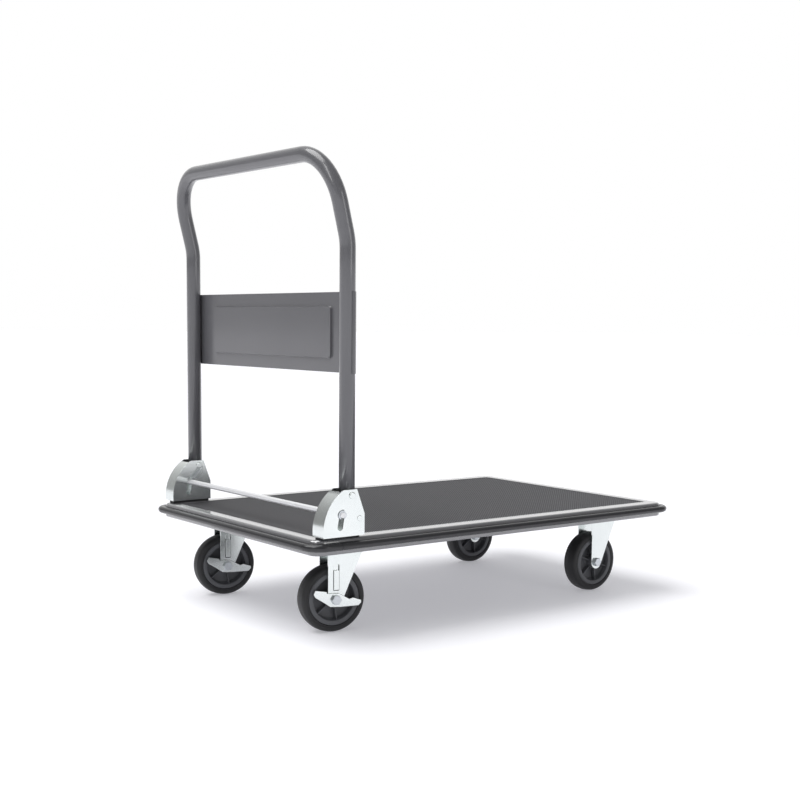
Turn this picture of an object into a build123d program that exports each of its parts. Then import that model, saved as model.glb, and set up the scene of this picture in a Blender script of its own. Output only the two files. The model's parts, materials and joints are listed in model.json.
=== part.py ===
from build123d import *
import math
import os

# Flatbed platform truck with a fold-down handle. Millimetres, +Z up.
# +X is the pushing direction, +Y is left, and the origin is on the floor under the middle of the deck.

os.makedirs("parts", exist_ok=True)

# Deck
deck_length = 910
deck_width = 610
deck_corner_r = 38
bumper_proud = 15
bumper_height = 13
bumper_mid_z = 175.5
border_top = 188
skirt_bottom = 160
deck_sheet = 1.6
shoulder_r = 6
skirt_curl_r = 4
lip_width = 12
mat_length = 828
mat_width = 516
mat_thick = 3
mat_sink = 1
mat_corner_r = 6
mat_gap = 0.3

# Hat sections under the deck
hat_sheet = 2
hat_flange = 16
cross_member_width = 112
cross_member_length = 500
rib_width = 60
rib_height = 18
rib_y = 110

# Handle
tube_d = 28
tube_wall = 1.5
post_x = -368
post_y = 280
lean_start_z = 700
lean_angle = 14
lean_bend_r = 120
bar_z = 849
bar_bend_r = 88
panel_bottom = 473
panel_top = 614
panel_sheet = 1.2
field_length = 425
field_height = 93
field_rise = 4
field_bevel = 1.5
field_corner_r = 8

# Handle brackets, measured from the rear end of the cheeks (x) and their lower edge (z)
bracket_rear_x = -427
pad_thick = 4
bracket_length = 85.5
bracket_height = 81.5
bracket_sheet = 2
bracket_inside = 30
rear_arc_centre = (82.6, 9.5)
top_flat_end = 69.5
front_edge_height = 38
band_height = 78
slot_width = 11
slot_top = (38.05, 38.4)
slot_play = 4
slot_foot = (34.3, 16.8)
pivot_local = (59, 71)
stop_local = (75, 30)
spring_hole_local = (65.7, 67.5)
bracket_bolt_local_x = (14, 72)
bracket_bolt_y = 276
pad_width = 20
bracket_hole_r = 3.2
pin_hole_r = 4
spring_hole_r = 2.2
bracket_bolt_d = 6
bracket_hex_r = 5
bracket_head = 4
bracket_nut = 5
bracket_bolt_end = 3
pivot_bush_r = 6
pin_d = 8
pivot_head = (12.5, 2.4)
stop_head = (10, 1.2)
clip_thick = 1.2
clip_rise = 3
groove_depth = 1
spring_r = 3.5
spring_clear = 6.5
foot_local_z = 57
release_bar_d = 10
release_bar_length = 602

# Running fits
running_gap = 0.05

# Casters
wheel_d = 125
wheel_width = 34
rim_r = 49
rim_inner_r = 40
web_thick = 6
rib_thick = 1.8
boss_r = 14
boss_width = 36
bush_d = 15
axle_d = 10
caster_y = 199
rigid_axle_x = 312
kingpin_x = -317
trail = 27
swivel_yaw = -11
fork_inside = 38
fork_sheet = 2.5
fork_rear = 14
fork_front = 54
plate_top = skirt_bottom
plate_thick = 3
plate_length = 105
plate_width = 80
hole_pitch_x = 80
hole_pitch_y = 60
crown_top = 149
crown_thick = 3
slope_height = 88
plate_corner_r = 8
dome_height = 4
race_r = 33
race_wall = 4
race_gap = 0.4
race_round = 1.2
kingpin_d = 12
kingpin_rim = 4
kingpin_head = 4.6
caster_hole_r = 4.2
caster_bolt_d = 8
caster_hex_r = 6.5
caster_head = 5.3
nut_height = 6.5
bolt_end = 0.5
axle_head = 6
axle_hex_r = 8
axle_nut = 8
axle_end = 1
tyre_shoulder = 7
rib_count = 6

# Brakes on the right-hand legs of the swivel forks; heights are above the axle
pedal_thick = 2.5
pedal_stand_off = 0.5
head_gap = 0.3
strap_width = 10
strap_middle = 2
strap_thick = 1.5
strap_gap = 1
strap_slot_foot = 16
strap_slot_top = 64
strap_foot = 17.5
strap_step = 52
shoe_low = 60.5
shoe_tip = 15.5
pedal_outline = [
    (-40, 20),
    (-18, 16),
    (-17, 12.5),
    (6, 11.5),
    (14, 7),
    (27, -0.5),
    (34, 1.5),
    (50, -4),
    (50, -9),
    (45, -14),
    (9, -14),
    (-11, -12.5),
    (-20, -6),
    (-40, 7),
    (-43, 13),
]

# Worked out from the driving dimensions
pan_length = deck_length - 2 * bumper_proud
pan_width = deck_width - 2 * bumper_proud
pan_corner_r = deck_corner_r - bumper_proud
recess_floor = border_top - mat_sink - mat_thick
pan_underside = recess_floor - deck_sheet
tray_length = mat_length + 2 * mat_gap
tray_width = mat_width + 2 * mat_gap
wheel_r = wheel_d / 2
tube_r = tube_d / 2
axle_z = wheel_r
bracket_z = border_top + pad_thick
rigid_plate_x = rigid_axle_x + (fork_front - fork_rear) / 2
fork_outside = fork_inside / 2 + fork_sheet
plate_bottom = plate_top - plate_thick
strap_front = strap_middle + strap_width / 2
strap_head = crown_top - crown_thick - axle_z
kingpin_foot = crown_top - crown_thick - race_gap - kingpin_head
sides = {"left": 1, "right": -1}


def on_bracket(point):
    """Turns a bracket's own (x, z) into the truck's (x, z)."""
    return (bracket_rear_x + point[0], bracket_z + point[1])


def facing_right(x, y, z, yaw=0.0):
    """A plane whose x runs forward, whose y runs up and whose normal points to the right, turned by yaw."""
    c = math.cos(math.radians(yaw))
    s = math.sin(math.radians(yaw))
    return Plane(origin=(x, y, z), x_dir=(c, s, 0), z_dir=(s, -c, 0))


def save(part, name):
    part.label = name
    export_step(part, f"parts/{name}.step")


# ---------------------------------------------------------------- deck

with BuildPart() as pan_hollow:
    with BuildSketch(Plane.XY.offset(skirt_bottom + deck_sheet)):
        RectangleRounded(pan_length - 2 * deck_sheet, pan_width - 2 * deck_sheet, pan_corner_r - deck_sheet)
    extrude(amount=border_top - skirt_bottom - 2 * deck_sheet)
    fillet(pan_hollow.edges().group_by(Axis.Z)[-1], radius=shoulder_r - deck_sheet)
    fillet(pan_hollow.edges().group_by(Axis.Z)[0], radius=skirt_curl_r - deck_sheet)
    # The tray stands down into the hollow
    with BuildSketch(Plane.XY.offset(pan_underside)):
        RectangleRounded(
            tray_length + 2 * deck_sheet, tray_width + 2 * deck_sheet, mat_corner_r + deck_sheet
        )
    extrude(amount=border_top - pan_underside, mode=Mode.SUBTRACT)

with BuildPart() as deck_pan:
    with BuildSketch(Plane.XY.offset(skirt_bottom)):
        RectangleRounded(pan_length, pan_width, pan_corner_r)
    extrude(amount=border_top - skirt_bottom)
    fillet(deck_pan.edges().group_by(Axis.Z)[-1], radius=shoulder_r)
    fillet(deck_pan.edges().group_by(Axis.Z)[0], radius=skirt_curl_r)
    with BuildSketch(Plane.XY.offset(recess_floor)):
        RectangleRounded(tray_length, tray_width, mat_corner_r)
    extrude(amount=border_top - recess_floor, mode=Mode.SUBTRACT)
    add(pan_hollow.part, mode=Mode.SUBTRACT)
    # The mouth inside the return lip
    with BuildSketch(Plane.XY.offset(skirt_bottom)):
        RectangleRounded(pan_length - 2 * lip_width, pan_width - 2 * lip_width, pan_corner_r - lip_width)
    extrude(amount=2 * deck_sheet, mode=Mode.SUBTRACT)
    with Locations(
        *[
            (on_bracket((x, 0))[0], side * bracket_bolt_y, border_top)
            for x in bracket_bolt_local_x
            for side in (1, -1)
        ]
    ):
        Cylinder(bracket_hole_r, 4 * deck_sheet, mode=Mode.SUBTRACT)
save(deck_pan.part, "deck_pan")

with BuildPart() as deck_mat:
    with BuildSketch(Plane.XY.offset(recess_floor)):
        RectangleRounded(mat_length, mat_width, mat_corner_r)
    extrude(amount=mat_thick)
    chamfer(deck_mat.edges().group_by(Axis.Z)[-1], length=0.8)
save(deck_mat.part, "deck_mat")

with BuildPart() as edge_bumper:
    with BuildSketch(Plane.XY.offset(bumper_mid_z - bumper_height / 2)):
        RectangleRounded(deck_length, deck_width, deck_corner_r)
    extrude(amount=bumper_height)
    fillet(edge_bumper.edges().group_by(Axis.Z)[-1], radius=bumper_height / 2 - 0.2)
    fillet(edge_bumper.edges().group_by(Axis.Z)[0], radius=bumper_height / 2 - 0.2)
    with BuildSketch(Plane.XY.offset(bumper_mid_z - bumper_height / 2)):
        RectangleRounded(pan_length, pan_width, pan_corner_r)
    extrude(amount=bumper_height, mode=Mode.SUBTRACT)
save(edge_bumper.part, "edge_bumper")


def hat_section(plane, width, height, length, bolt_spots=()):
    """A folded hat section, flat side down, its flanges level with the plane's own zero height."""
    half = width / 2
    with BuildPart() as hat:
        with BuildSketch(plane.offset(-length / 2)):
            with BuildLine():
                Polyline(
                    (-half - hat_flange, 0),
                    (half + hat_flange, 0),
                    (half + hat_flange, -hat_sheet),
                    (half, -hat_sheet),
                    (half, -height),
                    (-half, -height),
                    (-half, -hat_sheet),
                    (-half - hat_flange, -hat_sheet),
                    close=True,
                )
            make_face()
            with Locations((0, -height / 2 + hat_sheet / 2)):
                Rectangle(width - 2 * hat_sheet, height - hat_sheet, mode=Mode.SUBTRACT)
        extrude(amount=length)
        if bolt_spots:
            with Locations(*bolt_spots):
                Cylinder(caster_hole_r, 4 * hat_sheet, mode=Mode.SUBTRACT)
    return hat.part


def caster_spots(x, z):
    """The four bolt places of each caster plate on one cross member."""
    return [
        (x + i * hole_pitch_x / 2, side * caster_y + j * hole_pitch_y / 2, z)
        for side in (1, -1)
        for i in (-1, 1)
        for j in (-1, 1)
    ]


cross_height = pan_underside - plate_top
for name, member_x in {"cross_member_rear": kingpin_x, "cross_member_front": rigid_plate_x}.items():
    member_plane = Plane(origin=(member_x, 0, pan_underside), x_dir=(1, 0, 0), z_dir=(0, -1, 0))
    spots = caster_spots(member_x, plate_top)
    save(hat_section(member_plane, cross_member_width, cross_height, cross_member_length, spots), name)

rib_start = kingpin_x + cross_member_width / 2 + hat_flange + 4
rib_end = rigid_plate_x - cross_member_width / 2 - hat_flange - 4
for side_name, side in sides.items():
    rib_origin = ((rib_start + rib_end) / 2, side * rib_y, pan_underside)
    rib_plane = Plane(origin=rib_origin, x_dir=(0, 1, 0), z_dir=(1, 0, 0))
    save(hat_section(rib_plane, rib_width, rib_height, rib_end - rib_start), f"deck_rib_{side_name}")

# ---------------------------------------------------------------- handle brackets

arc_x, arc_z = rear_arc_centre
arc_outer_r = math.hypot(arc_x, arc_z)


def on_rear_arc(height, radius):
    """The rear curve's x at a height above the cheeks' lower edge."""
    return arc_x - math.sqrt(radius**2 - (height - arc_z) ** 2)


def cheek_outline():
    """The outline of a bracket cheek."""
    with BuildSketch() as outline:
        with BuildLine():
            ThreePointArc(
                (0, 0),
                (on_rear_arc(bracket_height * 0.55, arc_outer_r), bracket_height * 0.55),
                (on_rear_arc(bracket_height, arc_outer_r), bracket_height),
            )
            Polyline(
                (on_rear_arc(bracket_height, arc_outer_r), bracket_height),
                (top_flat_end, bracket_height),
                (bracket_length, front_edge_height),
                (bracket_length, 0),
                (0, 0),
            )
        make_face()
    return outline.sketch


def make_bracket(side):
    """One handle bracket: base, two cheeks and the curved rear band, as one folded piece."""
    outer_y = side * post_y + bracket_inside / 2 + bracket_sheet
    slot_dx = slot_top[0] - slot_foot[0]
    slot_dz = slot_top[1] - slot_foot[1]
    slot_run = math.hypot(slot_dx, slot_dz)
    slot_end_x = slot_top[0] + slot_dx / slot_run * slot_play
    slot_end_z = slot_top[1] + slot_dz / slot_run * slot_play
    width = bracket_inside + 2 * bracket_sheet
    cheek_plane = facing_right(bracket_rear_x, outer_y, bracket_z)
    inner_cheek_y = side * (post_y - bracket_inside / 2 - bracket_sheet / 2)
    with BuildPart() as bracket:
        with BuildSketch(cheek_plane):
            add(cheek_outline())
        extrude(amount=width)
        # The space between the cheeks, closed below by the base and behind by the band
        with BuildSketch(cheek_plane.offset(bracket_sheet)):
            with BuildLine():
                inner_r = arc_outer_r - bracket_sheet
                ThreePointArc(
                    (on_rear_arc(bracket_sheet, inner_r), bracket_sheet),
                    (on_rear_arc(band_height / 2, inner_r), band_height / 2),
                    (on_rear_arc(band_height, inner_r), band_height),
                )
                Polyline(
                    (on_rear_arc(band_height, inner_r), band_height),
                    (-bracket_sheet, band_height),
                    (-bracket_sheet, bracket_height + bracket_sheet),
                    (bracket_length + bracket_sheet, bracket_height + bracket_sheet),
                    (bracket_length + bracket_sheet, bracket_sheet),
                    (on_rear_arc(bracket_sheet, inner_r), bracket_sheet),
                )
            make_face()
        extrude(amount=bracket_inside, mode=Mode.SUBTRACT)
        with BuildSketch(cheek_plane):
            with Locations(((slot_end_x + slot_foot[0]) / 2, (slot_end_z + slot_foot[1]) / 2)):
                SlotCenterToCenter(
                    math.hypot(slot_end_x - slot_foot[0], slot_end_z - slot_foot[1]),
                    slot_width,
                    rotation=math.degrees(math.atan2(slot_dz, slot_dx)),
                )
            with Locations(pivot_local, stop_local):
                Circle(pin_hole_r)
        extrude(amount=width, mode=Mode.SUBTRACT)
        with BuildSketch(facing_right(bracket_rear_x, inner_cheek_y + bracket_sheet, bracket_z)):
            with Locations(spring_hole_local):
                Circle(spring_hole_r)
        extrude(amount=2 * bracket_sheet, mode=Mode.SUBTRACT)
        bolt_x = [bracket_rear_x + x for x in bracket_bolt_local_x]
        with Locations(*[(x, side * bracket_bolt_y, bracket_z) for x in bolt_x]):
            Cylinder(bracket_hole_r, 3 * bracket_sheet, mode=Mode.SUBTRACT)
    return bracket.part


for side_name, side in sides.items():
    save(make_bracket(side), f"bracket_{side_name}")

bolt_xy = [
    (bracket_rear_x + x, side * bracket_bolt_y) for side in (1, -1) for x in bracket_bolt_local_x
]

with BuildPart() as bracket_pads:
    with BuildSketch(Plane.XY.offset(border_top)):
        with Locations(*[(bracket_rear_x + bracket_length / 2, side * bracket_bolt_y) for side in (1, -1)]):
            RectangleRounded(bracket_length - 5, pad_width, 2)
        with Locations(*bolt_xy):
            Circle(bracket_hole_r, mode=Mode.SUBTRACT)
    extrude(amount=pad_thick)
save(bracket_pads.part, "bracket_pads")

bolt_head_z = bracket_z + bracket_sheet
nut_top_z = border_top - deck_sheet
with BuildPart() as bracket_bolts:
    with BuildSketch(Plane.XY.offset(bolt_head_z)):
        with Locations(*bolt_xy):
            RegularPolygon(bracket_hex_r, 6, major_radius=False)
    extrude(amount=bracket_head)
    bolt_foot_z = nut_top_z - bracket_nut - bracket_bolt_end
    with BuildSketch(Plane.XY.offset(bolt_foot_z)):
        with Locations(*bolt_xy):
            Circle(bracket_bolt_d / 2)
    extrude(amount=bolt_head_z - bolt_foot_z)
save(bracket_bolts.part, "bracket_bolts")

with BuildPart() as bracket_nuts:
    with BuildSketch(Plane.XY.offset(nut_top_z - bracket_nut)):
        with Locations(*bolt_xy):
            RegularPolygon(bracket_hex_r, 6, major_radius=False)
            Circle(bracket_bolt_d / 2, mode=Mode.SUBTRACT)
    extrude(amount=bracket_nut)
save(bracket_nuts.part, "bracket_nuts")


def cross_pins(local_point, head_d, head_thick):
    """Headed pins through both cheeks of both brackets, at one place on the cheeks."""
    x, z = on_bracket(local_point)
    half = bracket_inside / 2 + bracket_sheet
    with BuildPart() as pins:
        for side in (1, -1):
            with BuildSketch(facing_right(x, side * post_y + half, z)):
                Circle(pin_d / 2)
            extrude(amount=2 * half)
            for end in (1, -1):
                head_plane = facing_right(x, side * post_y + end * (half + head_thick / 2), z)
                with BuildSketch(head_plane.offset(-head_thick / 2)):
                    Circle(head_d / 2)
                extrude(amount=head_thick)
        circles = pins.edges().filter_by(GeomType.CIRCLE)
        round_rims = circles.filter_by(lambda edge: abs(edge.radius - head_d / 2) < 0.01)
        outer_rims = [
            rim
            for rim in round_rims
            if abs(abs(abs(rim.center().Y) - post_y) - half - head_thick) < 0.01
        ]
        fillet(outer_rims, radius=head_thick * 0.6)
    return pins.part


save(cross_pins(pivot_local, *pivot_head), "pivot_pins")
save(cross_pins(stop_local, *stop_head), "stop_pins")

# ---------------------------------------------------------------- handle

lean_drop = (bar_z - lean_start_z) * math.tan(math.radians(lean_angle))
bar_x = post_x - lean_drop
foot_z = bracket_z + foot_local_z

bar_straight = 2 * (post_y - bar_bend_r)
with BuildPart() as handle_tube:
    for side in (1, -1):
        with BuildLine() as post_route:
            FilletPolyline(
                (post_x, side * post_y, foot_z),
                (post_x, side * post_y, lean_start_z),
                (bar_x, side * post_y, bar_z),
                (bar_x, 0, bar_z),
                radius=[lean_bend_r, bar_bend_r],
            )
        # The post and its two bends, without the half of the straight bar that ends the route
        bent_part = Wire(post_route.edges().sort_by(lambda edge: abs(edge.center().Y))[1:])
        with BuildSketch(Plane.XY.offset(foot_z)):
            with Locations((post_x, side * post_y)):
                Circle(tube_r)
                Circle(tube_r - tube_wall, mode=Mode.SUBTRACT)
        sweep(path=bent_part)
    with BuildSketch(facing_right(bar_x, bar_straight / 2, bar_z)):
        Circle(tube_r)
        Circle(tube_r - tube_wall, mode=Mode.SUBTRACT)
    extrude(amount=bar_straight)
    pivot_x, pivot_z = on_bracket(pivot_local)
    for side in (1, -1):
        with BuildSketch(facing_right(pivot_x, side * post_y + tube_r + 1, pivot_z)):
            Circle(pivot_bush_r)
        extrude(amount=tube_d + 2, mode=Mode.SUBTRACT)
save(handle_tube.part, "handle_tube")

with BuildPart() as pivot_bushes:
    for side in (1, -1):
        with BuildSketch(facing_right(pivot_x, side * post_y + tube_r, pivot_z)):
            Circle(pivot_bush_r)
            Circle(pin_d / 2 + running_gap, mode=Mode.SUBTRACT)
        extrude(amount=tube_d)
save(pivot_bushes.part, "pivot_bushes")

panel_face_r = tube_r + panel_sheet
panel_mid_z = (panel_bottom + panel_top) / 2
field_slope = math.degrees(math.atan2(field_bevel, field_rise))


def round_post(radius, side):
    """A point on a circle round a post's middle, halfway between straight ahead and straight out."""
    reach = radius * math.cos(math.radians(45))
    return (post_x + reach, side * (post_y + reach))


with BuildPart() as handle_panel:
    # The plan of the sheet: it hooks round the outer side of each post and crosses in front of both
    with BuildSketch(Plane.XY.offset(panel_bottom)):
        with BuildLine():
            for radius in (tube_r, panel_face_r):
                ThreePointArc(
                    (post_x, post_y + radius), round_post(radius, 1), (post_x + radius, post_y)
                )
                Line((post_x + radius, post_y), (post_x + radius, -post_y))
                ThreePointArc(
                    (post_x + radius, -post_y), round_post(radius, -1), (post_x, -post_y - radius)
                )
            for side in (1, -1):
                Line((post_x, side * (post_y + tube_r)), (post_x, side * (post_y + panel_face_r)))
        make_face()
    extrude(amount=panel_top - panel_bottom)
    # The pressed field stands back towards the person pushing
    rear_plane = Plane(origin=(post_x + tube_r, 0, panel_mid_z), x_dir=(0, 1, 0), z_dir=(1, 0, 0))
    with BuildSketch(rear_plane):
        RectangleRounded(field_length, field_height, field_corner_r)
    extrude(amount=-field_rise, taper=field_slope)
    with BuildSketch(rear_plane.offset(panel_sheet)):
        RectangleRounded(field_length, field_height, field_corner_r)
    extrude(amount=-field_rise, taper=field_slope, mode=Mode.SUBTRACT)
save(handle_panel.part, "handle_panel")

# ---------------------------------------------------------------- release bar

bar_rest_x, bar_rest_z = on_bracket(slot_top)
release_bar_half = release_bar_length / 2
clip_middle = post_y + bracket_inside / 2 + bracket_sheet + clip_thick
with BuildPart() as release_bar:
    with BuildSketch(facing_right(bar_rest_x, release_bar_half, bar_rest_z)):
        Circle(release_bar_d / 2)
    extrude(amount=release_bar_length)
    chamfer(release_bar.edges(), length=0.8)
    for end in (1, -1):
        clip_plane = facing_right(bar_rest_x, end * clip_middle, bar_rest_z).offset(-clip_thick / 2)
        with BuildSketch(clip_plane):
            Circle(release_bar_d / 2 + groove_depth)
            Circle(release_bar_d / 2 - groove_depth, mode=Mode.SUBTRACT)
        extrude(amount=clip_thick, mode=Mode.SUBTRACT)
save(release_bar.part, "release_bar")

with BuildPart() as bar_clips:
    for end in (1, -1):
        clip_plane = facing_right(bar_rest_x, end * clip_middle, bar_rest_z).offset(-clip_thick / 2)
        with BuildSketch(clip_plane):
            Circle(release_bar_d / 2 + clip_rise)
            Circle(release_bar_d / 2 - groove_depth, mode=Mode.SUBTRACT)
            with Locations((0, -release_bar_d / 2)):
                Rectangle(2 * clip_rise, release_bar_d, mode=Mode.SUBTRACT)
        extrude(amount=clip_thick)
save(bar_clips.part, "bar_clips")

spring_y = post_y - bracket_inside / 2 - bracket_sheet - spring_clear
spring_top_x, spring_top_z = on_bracket(spring_hole_local)
spring_run = math.hypot(spring_top_x - bar_rest_x, spring_top_z - bar_rest_z)
spring_down = Vector(
    (bar_rest_x - spring_top_x) / spring_run, 0, (bar_rest_z - spring_top_z) / spring_run
)
for side_name, side in sides.items():
    spring_start = Vector(spring_top_x, side * spring_y, spring_top_z) + spring_down * 2
    with BuildPart() as spring:
        with BuildSketch(Plane(origin=spring_start, x_dir=(0, 1, 0), z_dir=spring_down)):
            Circle(spring_r)
        extrude(amount=spring_run - release_bar_d / 2 - 3)
    save(spring.part, f"spring_{side_name}")

# ---------------------------------------------------------------- casters


def fork_side(rise):
    """The side outline of a fork leg, from the round under the axle up to a height above the axle."""
    reach = math.hypot(fork_front, slope_height)
    # The front edge leaves the round under the axle as a tangent
    angle = math.atan2(slope_height, fork_front) - math.acos(fork_rear / reach)
    tangent = (fork_rear * math.cos(angle), fork_rear * math.sin(angle))
    under = (angle - math.pi) / 2
    top_front = fork_front if rise >= slope_height else tangent[0] + (fork_front - tangent[0]) * (
        (rise - tangent[1]) / (slope_height - tangent[1])
    )
    corners = [tangent, (top_front, min(rise, slope_height))]
    if rise > slope_height:
        corners.append((fork_front, rise))
    corners += [(-fork_rear, rise), (-fork_rear, 0)]
    with BuildSketch() as outline:
        with BuildLine():
            ThreePointArc(
                (-fork_rear, 0),
                (fork_rear * math.cos(under), fork_rear * math.sin(under)),
                tangent,
            )
            Polyline(*corners)
        make_face()
    return outline.sketch


def fork_legs(axle_x, axle_y, yaw, rise):
    """Both legs of a fork, with the axle hole through them."""
    with BuildPart() as legs:
        for near in (fork_outside, -fork_inside / 2):
            with BuildSketch(facing_right(axle_x, axle_y, axle_z, yaw).offset(near - fork_sheet)):
                add(fork_side(rise))
                Circle(axle_d / 2, mode=Mode.SUBTRACT)
            extrude(amount=fork_sheet)
    return legs.part


def plate_with_holes(x, y, bottom):
    """A caster plate with rounded corners and its four bolt holes."""
    with BuildPart() as plate:
        with BuildSketch(Plane.XY.offset(bottom)):
            with Locations((x, y)):
                RectangleRounded(plate_length, plate_width, plate_corner_r)
            with Locations((x, y)):
                with GridLocations(hole_pitch_x, hole_pitch_y, 2, 2):
                    Circle(caster_hole_r, mode=Mode.SUBTRACT)
        extrude(amount=plate_thick)
    return plate.part


for side_name, side in sides.items():
    with BuildPart() as rigid_fork:
        add(plate_with_holes(rigid_plate_x, side * caster_y, plate_bottom))
        add(fork_legs(rigid_axle_x, side * caster_y, 0, plate_bottom + 0.5 - axle_z))
    save(rigid_fork.part, f"rigid_fork_{side_name}")

for side_name, side in sides.items():
    hub_y = side * caster_y
    with BuildPart() as top_plate:
        add(plate_with_holes(kingpin_x, hub_y, plate_bottom))
        # The pressed dome that carries the upper half of the ball race
        with BuildSketch(Plane.XY.offset(plate_bottom - dome_height)):
            with Locations((kingpin_x, hub_y)):
                Circle(race_r - race_wall)
        extrude(amount=dome_height)
        with BuildSketch(Plane.XY.offset(plate_bottom - dome_height)):
            with Locations((kingpin_x, hub_y)):
                Circle(kingpin_d / 2)
        extrude(amount=dome_height + plate_thick, mode=Mode.SUBTRACT)
    save(top_plate.part, f"top_plate_{side_name}")

    with BuildPart() as kingpin:
        with BuildSketch(Plane.XY.offset(kingpin_foot)):
            with Locations((kingpin_x, hub_y)):
                Circle(kingpin_d / 2 + kingpin_rim)
        extrude(amount=kingpin_head)
        with BuildSketch(Plane.XY.offset(kingpin_foot)):
            with Locations((kingpin_x, hub_y)):
                Circle(kingpin_d / 2)
        extrude(amount=plate_top - kingpin_foot)
    save(kingpin.part, f"kingpin_{side_name}")


def swivel_axle(side):
    """Where the axle of a swivel caster stands at rest, trailing behind its kingpin."""
    c = math.cos(math.radians(swivel_yaw))
    s = math.sin(math.radians(swivel_yaw))
    return (kingpin_x - trail * c, side * caster_y - trail * s)


for side_name, side in sides.items():
    hub_y = side * caster_y
    axle_x, axle_y = swivel_axle(side)
    with BuildPart() as swivel_fork:
        add(fork_legs(axle_x, axle_y, swivel_yaw, crown_top - axle_z))
        crown_plane = Plane(
            origin=(kingpin_x, hub_y, crown_top - crown_thick),
            x_dir=(math.cos(math.radians(swivel_yaw)), math.sin(math.radians(swivel_yaw)), 0),
            z_dir=(0, 0, 1),
        )
        with BuildSketch(crown_plane):
            Circle(race_r)
            with Locations(((fork_front - fork_rear) / 2 - trail, 0)):
                Rectangle(fork_front + fork_rear, 2 * fork_outside)
            Circle(kingpin_d / 2 + running_gap, mode=Mode.SUBTRACT)
        extrude(amount=crown_thick)
        # The slot in the right-hand leg that the brake strap lies in
        with BuildSketch(facing_right(axle_x, axle_y, axle_z, swivel_yaw).offset(fork_inside / 2)):
            with Locations((strap_middle, (strap_slot_foot + strap_slot_top) / 2)):
                RectangleRounded(strap_width + 2 * strap_gap, strap_slot_top - strap_slot_foot, 2)
        extrude(amount=fork_sheet, mode=Mode.SUBTRACT)
    save(swivel_fork.part, f"swivel_fork_{side_name}")

    with BuildPart() as race_cup:
        with BuildSketch(Plane.XY.offset(crown_top)):
            with Locations((kingpin_x, hub_y)):
                Circle(race_r)
                Circle(kingpin_d / 2 + running_gap, mode=Mode.SUBTRACT)
        extrude(amount=plate_bottom - crown_top - race_gap)
        with BuildSketch(Plane.XY.offset(plate_bottom - dome_height - race_gap)):
            with Locations((kingpin_x, hub_y)):
                Circle(race_r - race_wall + race_gap)
        extrude(amount=dome_height + race_gap, mode=Mode.SUBTRACT)
        outer_rims = race_cup.edges().filter_by(lambda edge: abs(edge.length - 2 * math.pi * race_r) < 0.01)
        fillet(outer_rims, radius=race_round)
    save(race_cup.part, f"race_cup_{side_name}")

# Bolts through the caster plates and the hat sections, with their nuts below
caster_bolt_xy = [
    (spot[0], spot[1])
    for member_x in (kingpin_x, rigid_plate_x)
    for spot in caster_spots(member_x, plate_top)
]
bolt_seat = plate_top + hat_sheet
with BuildPart() as caster_bolts:
    with BuildSketch(Plane.XY.offset(bolt_seat)):
        with Locations(*caster_bolt_xy):
            RegularPolygon(caster_hex_r, 6, major_radius=False)
    extrude(amount=caster_head)
    with BuildSketch(Plane.XY.offset(plate_bottom - nut_height - bolt_end)):
        with Locations(*caster_bolt_xy):
            Circle(caster_bolt_d / 2)
    extrude(amount=bolt_seat - plate_bottom + nut_height + bolt_end)
save(caster_bolts.part, "caster_bolts")

with BuildPart() as caster_nuts:
    with BuildSketch(Plane.XY.offset(plate_bottom - nut_height)):
        with Locations(*caster_bolt_xy):
            RegularPolygon(caster_hex_r, 6, major_radius=False)
            Circle(caster_bolt_d / 2, mode=Mode.SUBTRACT)
    extrude(amount=nut_height)
save(caster_nuts.part, "caster_nuts")

# Axles: a hex head on the right-hand leg and a nut on the left-hand leg


def make_axle(places, through_pedal):
    """Axle bolts; places are (x, y, yaw)."""
    seat = fork_outside + (pedal_stand_off + pedal_thick + head_gap if through_pedal else 0)
    with BuildPart() as bolts:
        for x, y, yaw in places:
            plane = facing_right(x, y, axle_z, yaw)
            with BuildSketch(plane.offset(seat)):
                RegularPolygon(axle_hex_r, 6, major_radius=False)
            extrude(amount=axle_head)
            far_end = fork_outside + axle_nut + axle_end
            with BuildSketch(plane.offset(-far_end)):
                Circle(axle_d / 2)
            extrude(amount=far_end + seat)
    return bolts.part


def make_axle_nut(places):
    """The nuts on the far legs; places are (x, y, yaw)."""
    with BuildPart() as nuts:
        for x, y, yaw in places:
            with BuildSketch(facing_right(x, y, axle_z, yaw).offset(-fork_outside - axle_nut)):
                RegularPolygon(axle_hex_r, 6, major_radius=False)
                Circle(axle_d / 2, mode=Mode.SUBTRACT)
            extrude(amount=axle_nut)
    return nuts.part


front_places = [(rigid_axle_x, side * caster_y, 0) for side in (1, -1)]
save(make_axle(front_places, False), "front_axle_bolts")
save(make_axle_nut(front_places), "front_axle_nuts")
for side_name, side in sides.items():
    rear_place = [(*swivel_axle(side), swivel_yaw)]
    save(make_axle(rear_place, True), f"rear_axle_bolt_{side_name}")
    save(make_axle_nut(rear_place), f"rear_axle_nut_{side_name}")

# ---------------------------------------------------------------- wheels

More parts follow.
